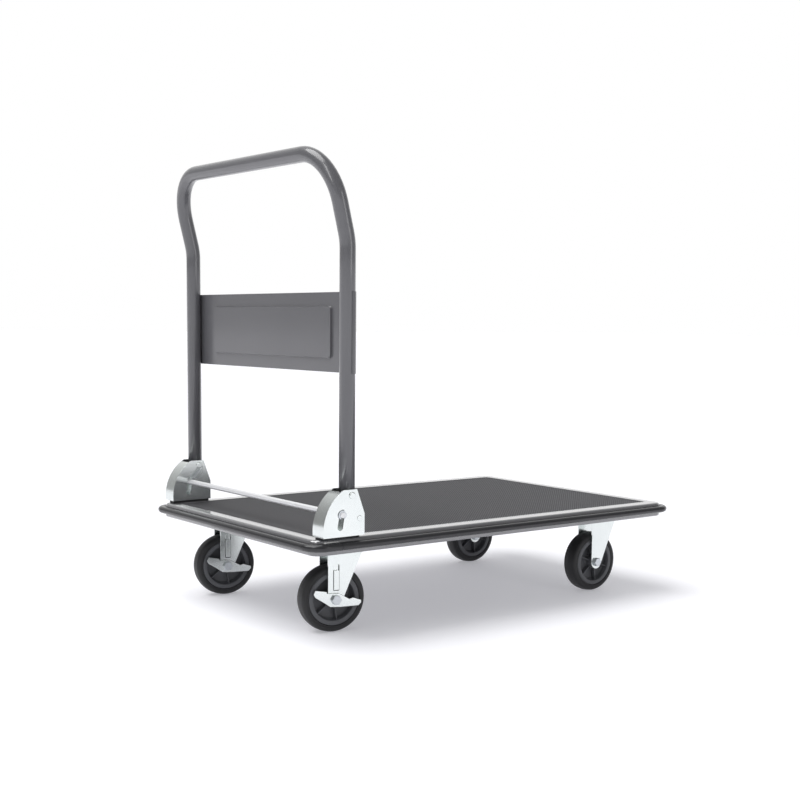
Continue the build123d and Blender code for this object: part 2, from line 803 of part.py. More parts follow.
wheels = {
    "front_left": (rigid_axle_x, caster_y, 0),
    "front_right": (rigid_axle_x, -caster_y, 0),
    "rear_left": (*swivel_axle(1), swivel_yaw),
    "rear_right": (*swivel_axle(-1), swivel_yaw),
}
for name, (x, y, yaw) in wheels.items():
    wheel_plane = facing_right(x, y, axle_z, yaw)
    with BuildPart() as tyre:
        with BuildSketch(wheel_plane.offset(-wheel_width / 2)):
            Circle(wheel_r)
        extrude(amount=wheel_width)
        fillet(tyre.edges(), radius=tyre_shoulder)
        with BuildSketch(wheel_plane.offset(-wheel_width / 2)):
            Circle(rim_r)
        extrude(amount=wheel_width, mode=Mode.SUBTRACT)
    save(tyre.part, f"tyre_{name}")

    with BuildPart() as hub:
        with BuildSketch(wheel_plane.offset(-wheel_width / 2)):
            Circle(rim_r)
            Circle(rim_inner_r, mode=Mode.SUBTRACT)
        extrude(amount=wheel_width)
        with BuildSketch(wheel_plane.offset(-web_thick / 2)):
            Circle(rim_inner_r + 1)
        extrude(amount=web_thick)
        with BuildSketch(wheel_plane.offset(-boss_width / 2)):
            Circle(boss_r)
        extrude(amount=boss_width)
        with BuildSketch(wheel_plane.offset(-wheel_width / 2 + 3)):
            with PolarLocations((boss_r + rim_inner_r) / 2, rib_count, start_angle=40):
                Rectangle(rim_inner_r - boss_r + 2, rib_thick)
        extrude(amount=wheel_width - 6)
        with BuildSketch(wheel_plane.offset(-boss_width / 2)):
            Circle(bush_d / 2)
        extrude(amount=boss_width, mode=Mode.SUBTRACT)
    save(hub.part, f"hub_{name}")

    with BuildPart() as bush:
        with BuildSketch(wheel_plane.offset(-boss_width / 2 - 0.5)):
            Circle(bush_d / 2)
            Circle(axle_d / 2 + running_gap, mode=Mode.SUBTRACT)
        extrude(amount=boss_width + 1)
    save(bush.part, f"bush_{name}")

# ---------------------------------------------------------------- brakes

for side_name, side in sides.items():
    axle_x, axle_y = swivel_axle(side)
    c = math.cos(math.radians(swivel_yaw))
    s = math.sin(math.radians(swivel_yaw))
    # A section across the fork: x is the distance out from the wheel's middle, y the height above the axle
    section = Plane(
        origin=(axle_x + strap_front * c, axle_y + strap_front * s, axle_z),
        x_dir=(s, -c, 0),
        z_dir=(-c, -s, 0),
    )
    outer = fork_outside + strap_thick
    leg_inside = fork_inside / 2
    with BuildPart() as brake_strap:
        with BuildSketch(section):
            with BuildLine():
                Polyline(
                    (outer, strap_foot),
                    (outer, strap_step + strap_thick),
                    (leg_inside, strap_step + strap_thick),
                    (leg_inside, strap_head),
                    (leg_inside - strap_thick, strap_head),
                    (leg_inside - strap_thick, shoe_low + strap_thick),
                    (shoe_tip, shoe_low + strap_thick),
                    (shoe_tip, shoe_low),
                    (leg_inside - strap_thick, shoe_low),
                    (leg_inside - strap_thick, strap_step),
                    (fork_outside, strap_step),
                    (fork_outside, strap_foot),
                    close=True,
                )
            make_face()
        extrude(amount=strap_width)
    save(brake_strap.part, f"brake_strap_{side_name}")

    leg_face = facing_right(axle_x, axle_y, axle_z, swivel_yaw).offset(fork_outside)
    with BuildPart() as brake_pedal:
        with BuildSketch(leg_face.offset(pedal_stand_off)):
            with BuildLine():
                Polyline(*pedal_outline, close=True)
            make_face()
            Circle(axle_d / 2 + running_gap, mode=Mode.SUBTRACT)
        extrude(amount=pedal_thick)
    save(brake_pedal.part, f"brake_pedal_{side_name}")
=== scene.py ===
import json
import math
import bmesh
import bpy
from mathutils import Matrix, Vector


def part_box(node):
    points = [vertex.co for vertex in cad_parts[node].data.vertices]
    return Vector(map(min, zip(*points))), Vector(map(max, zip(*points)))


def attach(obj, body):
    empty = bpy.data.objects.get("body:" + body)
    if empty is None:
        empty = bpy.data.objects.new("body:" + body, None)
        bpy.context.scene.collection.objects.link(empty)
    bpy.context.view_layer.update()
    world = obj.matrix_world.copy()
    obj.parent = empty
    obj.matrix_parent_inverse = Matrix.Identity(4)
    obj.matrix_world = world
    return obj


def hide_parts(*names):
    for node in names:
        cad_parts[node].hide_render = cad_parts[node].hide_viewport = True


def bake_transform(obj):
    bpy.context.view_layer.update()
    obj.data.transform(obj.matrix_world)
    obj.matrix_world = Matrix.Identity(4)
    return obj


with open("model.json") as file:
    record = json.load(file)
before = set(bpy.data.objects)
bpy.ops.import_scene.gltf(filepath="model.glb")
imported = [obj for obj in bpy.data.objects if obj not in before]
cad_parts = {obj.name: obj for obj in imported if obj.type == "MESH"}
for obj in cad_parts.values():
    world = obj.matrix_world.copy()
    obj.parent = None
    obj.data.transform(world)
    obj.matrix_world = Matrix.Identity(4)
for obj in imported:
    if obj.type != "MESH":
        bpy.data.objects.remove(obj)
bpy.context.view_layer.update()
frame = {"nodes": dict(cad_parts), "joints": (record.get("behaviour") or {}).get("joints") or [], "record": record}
cadNodes = frame["nodes"]
joints = {joint["name"]: joint for joint in frame["joints"]}
bodyOf = {node: body for body, members in frame["record"]["behaviour"]["bodies"].items() for node in members}
slotOf = {part["node"]: part["material_slot"] for part in frame["record"]["subparts"]}
sides = {"left": 1, "right": -1}
mm = 0.001
print("frame loaded with", len(cadNodes), "parts")


class Wire:  # one socket of a node tree, so that sums on sockets read as sums
    def __init__(self, kit, socket):
        self.kit = kit
        self.socket = socket

    def calc(self, operation, first, second):
        return self.kit.node("ShaderNodeMath", {"operation": operation}, {0: first, 1: second})

    def __add__(self, other):
        return self.calc("ADD", self, other)

    def __radd__(self, other):
        return self.calc("ADD", other, self)

    def __sub__(self, other):
        return self.calc("SUBTRACT", self, other)

    def __mul__(self, other):
        return self.calc("MULTIPLY", self, other)

    def __truediv__(self, other):
        return self.calc("DIVIDE", self, other)


class Kit:  # adds nodes to one tree
    def __init__(self, tree):
        self.tree = tree

    def node(self, kind, settings=None, sockets=None, out=0):
        made = self.tree.nodes.new(kind)
        for name, value in (settings or {}).items():
            if name == "stops":
                while len(made.color_ramp.elements) < len(value):
                    made.color_ramp.elements.new(0.5)
                for stop, (place, shade) in zip(made.color_ramp.elements, value):
                    stop.position = place
                    stop.color = (shade, shade, shade, 1)
            else:
                setattr(made, name, value)
        for name, value in (sockets or {}).items():
            if isinstance(value, Wire):
                self.tree.links.new(value.socket, made.inputs[name])
            else:
                made.inputs[name].default_value = value
        return Wire(self, made.outputs[out]) if len(made.outputs) else made

    def mixColour(self, factor, first, second):
        settings = {"data_type": "RGBA", "blend_type": "MIX"}
        return self.node("ShaderNodeMix", settings, {0: factor, 6: first, 7: second}, out=2)

    def noise(self, scale, detail=3.0, roughness=0.5, where=None):
        sockets = {"Scale": scale, "Detail": detail, "Roughness": roughness}
        sockets["Vector"] = where or self.node("ShaderNodeTexCoord", out="Object")
        return self.node("ShaderNodeTexNoise", None, sockets)

    def bump(self, height, strength, deep):  # deep is in millimetres
        sockets = {"Strength": strength, "Distance": deep * mm, "Height": height}
        return self.node("ShaderNodeBump", None, sockets)

    def ramp(self, value, *stops):
        return self.node("ShaderNodeValToRGB", {"stops": stops}, {"Fac": value})


def rgb(red, green, blue):
    return (red, green, blue, 1)


def makeMaterial(name, paint, *finish):
    material = bpy.data.materials.new(name)
    material.use_nodes = True
    tree = material.node_tree
    tree.nodes.clear()
    kit = Kit(tree)
    shader = kit.node("ShaderNodeBsdfPrincipled", None, paint(kit, *finish))
    kit.node("ShaderNodeOutputMaterial", None, {"Surface": shader})
    return material


greyPaint = {"dark": rgb(0.100, 0.100, 0.108), "light": rgb(0.118, 0.118, 0.127)}
greyPaint.update({"clouds": 9, "grains": 1400, "grainShare": 0.3, "peels": 420, "relief": 0.06, "deep": 0.4})
greyPaint.update({"roughness": 0.26, "spread": 0.10, "coat": 0.6, "coatRoughness": 0.10})


def paintPowderCoat(kit):
    cloud = kit.noise(greyPaint["clouds"], 2)
    grain = kit.noise(greyPaint["grains"], 2)
    peel = kit.noise(greyPaint["peels"], 2)
    share = greyPaint["grainShare"]
    mottle = cloud * (1 - share) + grain * share
    return {
        "Base Color": kit.mixColour(mottle, greyPaint["dark"], greyPaint["light"]),
        "Roughness": greyPaint["roughness"] + grain * greyPaint["spread"],
        "Coat Weight": greyPaint["coat"],
        "Coat Roughness": greyPaint["coatRoughness"],
        "Normal": kit.bump(peel, greyPaint["relief"], greyPaint["deep"]),
    }


deckGloss = {"Roughness": 0.2, "Coat Weight": 1.0, "Coat Roughness": 0.07, "Coat IOR": 2.1}


def paintDeck(kit):  # the same powder coat as on the handle, under a glossier clear coat
    return paintPowderCoat(kit) | deckGloss


zinc = {"dark": rgb(0.68, 0.72, 0.71), "light": rgb(0.83, 0.86, 0.85), "metallic": 0.97, "clouds": 22}
zinc.update({"grains": 1300, "relief": 0.035, "deep": 0.2, "roughness": 0.13, "spread": 0.10})


def paintZinc(kit):
    cloud = kit.noise(zinc["clouds"], 3)
    grain = kit.noise(zinc["grains"], 3)
    return {
        "Base Color": kit.mixColour(cloud, zinc["dark"], zinc["light"]),
        "Metallic": zinc["metallic"],
        "Roughness": zinc["roughness"] + cloud * zinc["spread"],
        "Normal": kit.bump(grain, zinc["relief"], zinc["deep"]),
    }


fastener = {"dark": rgb(0.50, 0.53, 0.56), "light": rgb(0.74, 0.77, 0.80), "metallic": 0.95, "clouds": 120}
fastener.update({"roughness": 0.24, "spread": 0.22})


def paintFastener(kit):
    cloud = kit.noise(fastener["clouds"], 4, 0.6)
    return {
        "Base Color": kit.mixColour(cloud, fastener["dark"], fastener["light"]),
        "Metallic": fastener["metallic"],
        "Roughness": fastener["roughness"] + cloud * fastener["spread"],
    }


brightRod = {"dark": rgb(0.78, 0.79, 0.81), "light": rgb(0.90, 0.90, 0.91), "metallic": 0.55}
brightRod.update({"lines": (900, 12, 900), "relief": 0.06, "deep": 0.2, "roughness": 0.34, "spread": 0.16})


def paintRod(kit):  # fine lines run along the rod, as drawing leaves them
    place = kit.node("ShaderNodeTexCoord", out="Object")
    drawn = kit.node("ShaderNodeMapping", None, {"Vector": place, "Scale": brightRod["lines"]})
    lines = kit.noise(1, 2, 0.5, drawn)
    return {
        "Base Color": kit.mixColour(lines, brightRod["dark"], brightRod["light"]),
        "Metallic": brightRod["metallic"],
        "Roughness": brightRod["roughness"] + lines * brightRod["spread"],
        "Normal": kit.bump(lines, brightRod["relief"], brightRod["deep"]),
    }


# the two mat colours: painted shade for the valleys of the knurl, a painted highlight for its tips
deckMat = {"shadedValley": rgb(0.012, 0.012, 0.014), "litPeak": rgb(0.085, 0.085, 0.094), "below": 0.45, "rise": 0.42}
deckMat.update({"grains": 700, "grainShare": 0.15, "relief": 0.12, "deep": 0.3})
deckMat.update({"roughness": 0.64, "spread": 0.16, "start": 0.05, "full": 0.95})


def paintMat(kit):  # the valleys of the knurl are painted darker as shade, and its tips lighter as a painted highlight
    place = kit.node("ShaderNodeTexCoord", out="Object")
    height = kit.node("ShaderNodeSeparateXYZ", None, {"Vector": place}, out=2)
    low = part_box("deck_mat")[1].z - deckMat["below"] * mm
    # height mask for the painted light: painted shade low in the knurl, painted highlight at its tips
    tipHighlight = kit.ramp((height - low) / (deckMat["rise"] * mm), (deckMat["start"], 0.0), (deckMat["full"], 1.0))
    grain = kit.noise(deckMat["grains"], 3)
    share = deckMat["grainShare"]
    return {
        "Base Color": kit.mixColour(tipHighlight * (1 - share) + grain * share, deckMat["shadedValley"], deckMat["litPeak"]),
        "Roughness": deckMat["roughness"] + grain * deckMat["spread"],
        "Normal": kit.bump(grain, deckMat["relief"], deckMat["deep"]),
    }


bumperRubber = {"dark": rgb(0.018, 0.018, 0.020), "light": rgb(0.028, 0.028, 0.031), "cloud": (14, 2)}
bumperRubber.update({"grain": (260, 3), "relief": 0.10, "deep": 0.4, "roughness": 0.20, "spread": 0.10})
tyreRubber = {"dark": rgb(0.009, 0.009, 0.010), "light": rgb(0.016, 0.016, 0.018), "cloud": (25, 3)}
tyreRubber.update({"grain": (500, 3), "relief": 0.12, "deep": 0.4, "roughness": 0.44, "spread": 0.16})
hubPlastic = {"dark": rgb(0.080, 0.083, 0.090), "light": rgb(0.100, 0.103, 0.112), "cloud": (30, 2)}
hubPlastic.update({"grain": (1100, 2), "relief": 0.18, "deep": 0.3, "roughness": 0.40, "spread": 0.16})
padPlastic = {"dark": rgb(0.010, 0.010, 0.011), "light": rgb(0.018, 0.018, 0.020), "cloud": (900, 2)}
padPlastic.update({"grain": (900, 2), "relief": 0.15, "deep": 0.3, "roughness": 0.5, "spread": 0.15})


def paintMoulded(kit, finish):  # two close shades in clouds, and a fine moulded grain
    cloud = kit.noise(*finish["cloud"])
    grain = kit.noise(*finish["grain"])
    return {
        "Base Color": kit.mixColour(cloud, finish["dark"], finish["light"]),
        "Roughness": finish["roughness"] + grain * finish["spread"],
        "Normal": kit.bump(grain, finish["relief"], finish["deep"]),
    }


nylon = {"dark": rgb(0.50, 0.48, 0.42), "light": rgb(0.62, 0.60, 0.54), "clouds": 80}
nylon.update({"roughness": 0.42, "spread": 0.12})


def paintNylon(kit):
    cloud = kit.noise(nylon["clouds"], 3)
    return {
        "Base Color": kit.mixColour(cloud, nylon["dark"], nylon["light"]),
        "Roughness": nylon["roughness"] + cloud * nylon["spread"],
    }


materials = {
    "grey_paint": makeMaterial("semiGlossPowderCoat", paintPowderCoat),
    "zinc_plate": makeMaterial("brightZincPlate", paintZinc),
    "zinc_fastener": makeMaterial("zincPlatedFastener", paintFastener),
    "bright_rod": makeMaterial("drawnBrightRod", paintRod),
    "spring_steel": makeMaterial("springWire", paintFastener),
    "mat_rubber": makeMaterial("knurledMat", paintMat),
    "bumper_rubber": makeMaterial("bumperRubber", paintMoulded, bumperRubber),
    "tyre_rubber": makeMaterial("tyreRubber", paintMoulded, tyreRubber),
    "hub_plastic": makeMaterial("mouldedHub", paintMoulded, hubPlastic),
    "pad_plastic": makeMaterial("blackPad", paintMoulded, padPlastic),
    "bush_plastic": makeMaterial("naturalNylon", paintNylon),
}
deckCoat = makeMaterial("glossyDeckCoat", paintDeck)
print("materials made:", len(materials))


def linkPiece(name, mesh):
    piece = bpy.data.objects.new(name, mesh)
    bpy.context.scene.collection.objects.link(piece)
    return piece


def shadeByAngle(mesh, degrees):
    mesh.shade_smooth()
    mesh.set_sharp_from_angle(angle=math.radians(degrees))


def fitPiece(piece, body, slot, *stoodFor):
    piece.data.materials.clear()
    piece.data.materials.append(materials[slot])
    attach(piece, body)
    if stoodFor:
        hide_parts(*stoodFor)
    return piece


def meshFrom(bm, name, smooth=35):
    bmesh.ops.recalc_face_normals(bm, faces=bm.faces)
    mesh = bpy.data.meshes.new(name)
    bm.to_mesh(mesh)
    bm.free()
    shadeByAngle(mesh, smooth)
    return mesh


def skinLoops(bm, loops, around=False, capFirst=False, capLast=False):
    rings = [[bm.verts.new(point) for point in loop] for loop in loops]
    count = len(rings[0])
    pairs = list(zip(rings, rings[1:]))
    if around:
        pairs.append((rings[-1], rings[0]))
    for first, second in pairs:
        for k in range(count):
            following = (k + 1) % count
            bm.faces.new((first[k], first[following], second[following], second[k]))
    if capFirst:
        bm.faces.new(list(reversed(rings[0])))
    if capLast:
        bm.faces.new(rings[-1])


def fromMesh(tree, name, values, source=None):  # runs a geometry tree and keeps its result as a plain mesh
    carrier = linkPiece(name + "Carrier", source or bpy.data.meshes.new(name + "Start"))
    modifier = carrier.modifiers.new("shape", "NODES")
    modifier.node_group = tree
    for item in tree.interface.items_tree:
        if item.item_type == "SOCKET" and item.in_out == "INPUT" and item.name in values:
            modifier[item.identifier] = values[item.name]
    depsgraph = bpy.context.evaluated_depsgraph_get()
    mesh = bpy.data.meshes.new_from_object(carrier.evaluated_get(depsgraph), depsgraph=depsgraph)
    mesh.name = name
    bpy.data.objects.remove(carrier)
    return mesh


def newTree(name, inputs):
    tree = bpy.data.node_groups.new(name, "GeometryNodeTree")
    tree.interface.new_socket("Geometry", in_out="INPUT", socket_type="NodeSocketGeometry")
    for label, kind in inputs.items():
        tree.interface.new_socket(label, in_out="INPUT", socket_type="NodeSocket" + kind)
    tree.interface.new_socket("Geometry", in_out="OUTPUT", socket_type="NodeSocketGeometry")
    kit = Kit(tree)
    entry = tree.nodes.new("NodeGroupInput")
    return kit, {socket.name: Wire(kit, socket) for socket in entry.outputs if socket.name}


def closeTree(kit, geometry, material):
    real = kit.node("GeometryNodeRealizeInstances", None, {"Geometry": geometry})
    painted = kit.node("GeometryNodeSetMaterial", None, {"Geometry": real, "Material": material})
    kit.node("NodeGroupOutput", None, {"Geometry": painted})
    return kit.tree


def tubeTree():  # a round tube along a bent line, each corner rounded by its own bend radius
    inputs = {"Radius": "Float", "Sides": "Int", "Bend Steps": "Int", "Material": "Material"}
    kit, given = newTree("tubeAlongLine", inputs)
    line = kit.node("GeometryNodeMeshToCurve", None, {"Mesh": given["Geometry"]})
    bend = kit.node("GeometryNodeInputNamedAttribute", {"data_type": "FLOAT"}, {"Name": "bend"})
    settings = {"mode": "POLY"}
    sockets = {"Curve": line, "Radius": bend, "Count": given["Bend Steps"], "Limit Radius": True}
    rounded = kit.node("GeometryNodeFilletCurve", settings, sockets)
    sockets = {"Resolution": given["Sides"], "Radius": given["Radius"]}
    circle = kit.node("GeometryNodeCurvePrimitiveCircle", None, sockets)
    sockets = {"Curve": rounded, "Profile Curve": circle, "Fill Caps": False}
    tube = kit.node("GeometryNodeCurveToMesh", None, sockets)
    return closeTree(kit, tube, given["Material"])


tubeAlongLine = tubeTree()


def tubeMesh(name, points, bends, radius, sideCount, slot, bendSteps=14):
    line = bpy.data.meshes.new(name + "Line")
    line.from_pydata([tuple(point) for point in points], [(k, k + 1) for k in range(len(points) - 1)], [])
    attribute = line.attributes.new("bend", "FLOAT", "POINT")
    attribute.data.foreach_set("value", bends)
    values = {"Radius": radius, "Sides": sideCount, "Bend Steps": bendSteps, "Material": materials[slot]}
    mesh = fromMesh(tubeAlongLine, name, values, line)
    shadeByAngle(mesh, 40)
    return mesh


handle = {"radius": 14 * mm, "wall": 1.5 * mm, "sides": 40}
handle.update({"leanStart": 0.700, "leanBend": 0.120, "barBend": 0.088})


def makeHandle():
    low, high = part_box("handle_tube")
    radius = handle["radius"]
    postX = high.x - radius
    postY = high.y - radius
    barZ = high.z - radius
    barX = low.x + radius
    points = [
        (postX, postY, low.z),
        (postX, postY, handle["leanStart"]),
        (barX, postY, barZ),
        (barX, -postY, barZ),
        (postX, -postY, handle["leanStart"]),
        (postX, -postY, low.z),
    ]
    bends = [0, handle["leanBend"], handle["barBend"], handle["barBend"], handle["leanBend"], 0]
    mesh = tubeMesh("handleTube", points, bends, radius, handle["sides"], "grey_paint")
    piece = linkPiece("handleTube", mesh)
    wall = piece.modifiers.new("wall", "SOLIDIFY")
    wall.thickness = handle["wall"]
    wall.offset = -1
    return fitPiece(piece, "handle", "grey_paint", "handle_tube")


makeHandle()
print("handle made")

pan = {"sheet": 1.6, "shoulder": 6, "curl": 4, "lip": 12, "corner": 23, "trayGap": 0.3, "trayCorner": 6.3}
pan.update({"rim": 1.0, "grooveOut": 3.4, "grooveWide": 1.0, "grooveDeep": 0.45, "steps": 6})
pan.update({"leastCorner": 4, "flat": 2, "fold": 2.4, "slope": 0.3})
quadrants = ((0, 1, 1), (90, -1, 1), (180, -1, -1), (270, 1, -1))  # (start angle, side in x, side in y)


def roundedLoop(halfX, halfY, corner, z, steps=9):
    points = []
    for start, signX, signY in quadrants:
        for step in range(steps + 1):
            angle = math.radians(start + 90 * step / steps)
            x = signX * (halfX - corner) + corner * math.cos(angle)
            y = signY * (halfY - corner) + corner * math.sin(angle)
            points.append(Vector((x, y, z)))
    return points


def makePan():
    low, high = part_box("deck_pan")
    matLow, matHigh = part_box("deck_mat")
    halfX, halfY = high.x, high.y
    top, bottom = high.z, low.z
    sheet, shoulder, curl = pan["sheet"] * mm, pan["shoulder"] * mm, pan["curl"] * mm

    def skirt(inset, z):
        corner = max(pan["corner"] * mm - inset, pan["leastCorner"] * mm)
        return roundedLoop(halfX - inset, halfY - inset, corner, z)

    def tray(out, z):
        gap = pan["trayGap"] * mm
        return roundedLoop(matHigh.x + gap + out, matHigh.y + gap + out, pan["trayCorner"] * mm + out, z)

    def quarter(radius):
        steps = pan["steps"]
        angles = [math.radians(90 * k / steps) for k in range(steps + 1)]
        return [(radius * (1 - math.cos(a)), radius * math.sin(a)) for a in angles]

    rim, slope, fold = pan["rim"] * mm, pan["slope"], pan["fold"] * mm
    grooveOut, grooveWide, grooveDeep = pan["grooveOut"] * mm, pan["grooveWide"] * mm, pan["grooveDeep"] * mm
    loops = [tray(0, matLow.z), tray(0, top - rim), tray(rim * slope, top - rim * slope), tray(rim, top)]
    loops += [tray(grooveOut, top), tray(grooveOut + grooveWide * slope, top - grooveDeep)]
    loops += [tray(grooveOut + grooveWide * (1 - slope), top - grooveDeep), tray(grooveOut + grooveWide, top)]
    loops.append(skirt(shoulder + pan["flat"] * mm, top))
    loops += [skirt(shoulder - across, top - down) for down, across in quarter(shoulder)]
    loops += [skirt(across, bottom + curl - along) for across, along in quarter(curl)]
    loops += [skirt(pan["lip"] * mm, bottom), skirt(pan["lip"] * mm, bottom + sheet)]
    loops += [skirt(sheet + fold, bottom + sheet), skirt(sheet, bottom + sheet + fold)]
    loops += [skirt(sheet, top - shoulder), skirt(shoulder, top - sheet)]
    loops += [tray(sheet + rim, top - sheet), tray(sheet, top - sheet - rim), tray(sheet, matLow.z - sheet)]
    bm = bmesh.new()
    skinLoops(bm, loops, capFirst=True, capLast=True)
    piece = linkPiece("deckPan", meshFrom(bm, "deckPan", 32))
    fitPiece(piece, "deck", "grey_paint", "deck_pan")
    piece.data.materials[0] = deckCoat
    return piece


makePan()

bumper = {"base": 5.2, "neck": 2.0, "flat": 8.5, "round": 6.5, "steps": 12, "cornerSteps": 12}
bumper.update({"stepOut": 2.5, "stepUp": 6.2, "lipOut": 4.2})
bumper.update({"seamX": -0.392, "seamHalf": 0.25, "seamFull": 0.93})


def bumperProfile():  # (out from the skirt, up from the middle), from the lower seam to the upper one
    lower = [(0, -bumper["base"]), (bumper["neck"], -bumper["base"]), (bumper["stepOut"], -bumper["stepUp"])]
    lower.append((bumper["lipOut"], -bumper["round"]))
    steps = bumper["steps"]
    angles = [math.radians(-90 + 180 * k / steps) for k in range(steps + 1)]
    nose = [(bumper["flat"] + bumper["round"] * math.cos(a), bumper["round"] * math.sin(a)) for a in angles]
    return lower + nose + [(out, -up) for out, up in reversed(lower)]


def makeBumper():
    low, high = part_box("edge_bumper")
    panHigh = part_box("deck_pan")[1]
    middle = (low.z + high.z) / 2
    corner = pan["corner"] * mm
    stations = []  # (foot on the skirt, outward direction, how full the section is)
    for start, signX, signY in quadrants:
        for step in range(bumper["cornerSteps"] + 1):
            angle = math.radians(start + 90 * step / bumper["cornerSteps"])
            outward = Vector((math.cos(angle), math.sin(angle), 0))
            centre = Vector((signX * (panHigh.x - corner), signY * (panHigh.y - corner), middle))
            stations.append((centre + outward * corner, outward, 1.0))
        if start == 180:  # the butt joint on the right-hand side, close to the rear corner
            half, full = bumper["seamHalf"] * mm, bumper["seamFull"]
            for shift, fullness in ((-3 * half, 1.0), (-half, full), (half, full), (3 * half, 1.0)):
                foot = Vector((bumper["seamX"] + shift, -panHigh.y, middle))
                stations.append((foot, Vector((0, -1, 0)), fullness))
    loops = []
    for out, up in bumperProfile():
        rise = Vector((0, 0, up))
        loops.append([foot + (outward * out + rise) * mm * full for foot, outward, full in stations])
    bm = bmesh.new()
    skinLoops(bm, loops, around=True)
    piece = linkPiece("edgeBumper", meshFrom(bm, "edgeBumper", 40))
    return fitPiece(piece, "deck", "bumper_rubber", "edge_bumper")


makeBumper()

knurl = {"pitch": 3.0 * mm, "height": 0.55 * mm, "margin": 2.5 * mm, "nudge": 0.01}
matSheet = {"corner": 6 * mm, "edge": 1.0 * mm, "slope": 0.3, "top": 0.6}
matSheet.update({"overlap": 0.3 * mm, "sink": 0.2 * mm})


def knurlTree():  # a grid whose every second point stands up, which makes rows of small pyramids
    inputs = {"Length": "Float", "Width": "Float", "Pitch": "Float", "Height": "Float", "Base": "Float"}
    inputs["Material"] = "Material"
    kit, given = newTree("knurledField", inputs)
    floor = {"operation": "FLOOR"}
    columns = kit.node("ShaderNodeMath", floor, {0: given["Length"] / given["Pitch"]})
    rows = kit.node("ShaderNodeMath", floor, {0: given["Width"] / given["Pitch"]})
    sockets = {"Size X": given["Length"], "Size Y": given["Width"], "Vertices X": columns, "Vertices Y": rows}
    grid = kit.node("GeometryNodeMeshGrid", None, sockets)
    index = kit.node("GeometryNodeInputIndex")
    column = kit.node("ShaderNodeMath", floor, {0: (index + knurl["nudge"]) / rows})
    row = index - column * rows
    parity = kit.node("ShaderNodeMath", {"operation": "MODULO"}, {0: row + column, 1: 2.0})
    lift = kit.node("ShaderNodeCombineXYZ", None, {"Z": given["Base"] + parity * given["Height"]})
    raised = kit.node("GeometryNodeSetPosition", None, {"Geometry": grid, "Offset": lift})
    return closeTree(kit, raised, given["Material"])


def makeMat():
    low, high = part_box("deck_mat")
    margin = knurl["margin"]
    values = {
        "Length": high.x - low.x - 2 * margin,
        "Width": high.y - low.y - 2 * margin,
        "Pitch": knurl["pitch"],
        "Height": knurl["height"],
        "Base": high.z - knurl["height"],
        "Material": materials["mat_rubber"],
    }
    field = linkPiece("matKnurl", fromMesh(knurlTree(), "matKnurl", values))
    fitPiece(field, "deck", "mat_rubber")
    corner, edge, slope = matSheet["corner"], matSheet["edge"], matSheet["slope"]
    outer, inner = margin - matSheet["overlap"], margin + edge
    sheetTop = high.z - knurl["height"] * matSheet["top"]
    sunk = high.z - knurl["height"] - matSheet["sink"]
    loops = [
        roundedLoop(high.x, high.y, corner, low.z),
        roundedLoop(high.x, high.y, corner, sheetTop - edge),
        roundedLoop(high.x - edge * slope, high.y - edge * slope, corner, sheetTop - edge * slope),
        roundedLoop(high.x - edge, high.y - edge, corner - edge, sheetTop),
        roundedLoop(high.x - outer, high.y - outer, corner - outer, sheetTop),
        roundedLoop(high.x - inner, high.y - inner, corner - inner, sunk),
    ]
    bm = bmesh.new()
    skinLoops(bm, loops, capFirst=True, capLast=True)
    piece = linkPiece("matSheet", meshFrom(bm, "matSheet", 50))
    return fitPiece(piece, "deck", "mat_rubber", "deck_mat")


makeMat()
print("deck made")


edgeBreak = {"merge": 0.01 * mm, "flat": 0.5, "angle": 38, "segments": 2}


def refine(node, width):  # a copy of the CAD shape with its edges broken
    mesh = cadNodes[node].data.copy()
    bm = bmesh.new()
    bm.from_mesh(mesh)
    bmesh.ops.remove_doubles(bm, verts=bm.verts, dist=edgeBreak["merge"])
    flat = math.radians(edgeBreak["flat"])
    bmesh.ops.dissolve_limit(bm, angle_limit=flat, verts=bm.verts, edges=bm.edges)
    bm.to_mesh(mesh)
    bm.free()
    piece = linkPiece(node + "Fine", mesh)
    edge = piece.modifiers.new("edge", "BEVEL")
    edge.width = width * mm
    edge.segments = edgeBreak["segments"]
    edge.limit_method = "ANGLE"
    edge.angle_limit = math.radians(edgeBreak["angle"])
    shadeByAngle(mesh, edgeBreak["angle"])
    flats = piece.modifiers.new("flats", "WEIGHTED_NORMAL")
    flats.keep_sharp = True
    return fitPiece(piece, bodyOf[node], slotOf[node], node)


edgeWidths = {
    "handle_panel": 0.35,
    "bracket_bolts": 0.4,
    "bracket_nuts": 0.4,
    "caster_bolts": 0.4,
    "caster_nuts": 0.4,
    "front_axle_bolts": 0.5,
    "front_axle_nuts": 0.5,
    "cross_member_rear": 0.5,
    "cross_member_front": 0.5,
}
pairedWidths = {
    "bracket": 0.5,
    "rigid_fork": 0.6,
    "swivel_fork": 0.6,
    "top_plate": 0.5,
    "brake_strap": 0.4,
    "brake_pedal": 0.6,
    "rear_axle_bolt": 0.5,
    "rear_axle_nut": 0.5,
    "deck_rib": 0.5,
}
for side in sides:
    edgeWidths.update({f"{node}_{side}": width for node, width in pairedWidths.items()})
for node, width in edgeWidths.items():
    refine(node, width)
print("edges broken on", len(edgeWidths), "parts")

tyre = {"radius": 62.5, "rim": 49.0, "half": 17.0, "shoulder": 8.0, "crown": 1.0, "inset": 0.1, "steps": 72}
tyre["arcSteps"] = 8
# points of the side wall: (out from the rim, in from the side face)
tyre["sideWall"] = ((0, 1.5), (0.6, 0.6), (1.2, 0), (3.2, 0), (3.8, 0.5), (4.4, 0.1))
tyre["tread"] = ((0.3, 4.5), (0, 0.7), (0, 0))  # (in from the full radius, out from the middle)
hub = {"rim": 49.0, "inner": 40.0, "half": 16.6, "web": 3.0, "boss": 14.0, "bossHalf": 18.0, "bore": 7.5}
hub.update({"ribs": 6, "ribThick": 1.8, "ribTop": 13.0, "ribStart": 40, "ribSunk": 1.5, "ribEdge": 0.35})


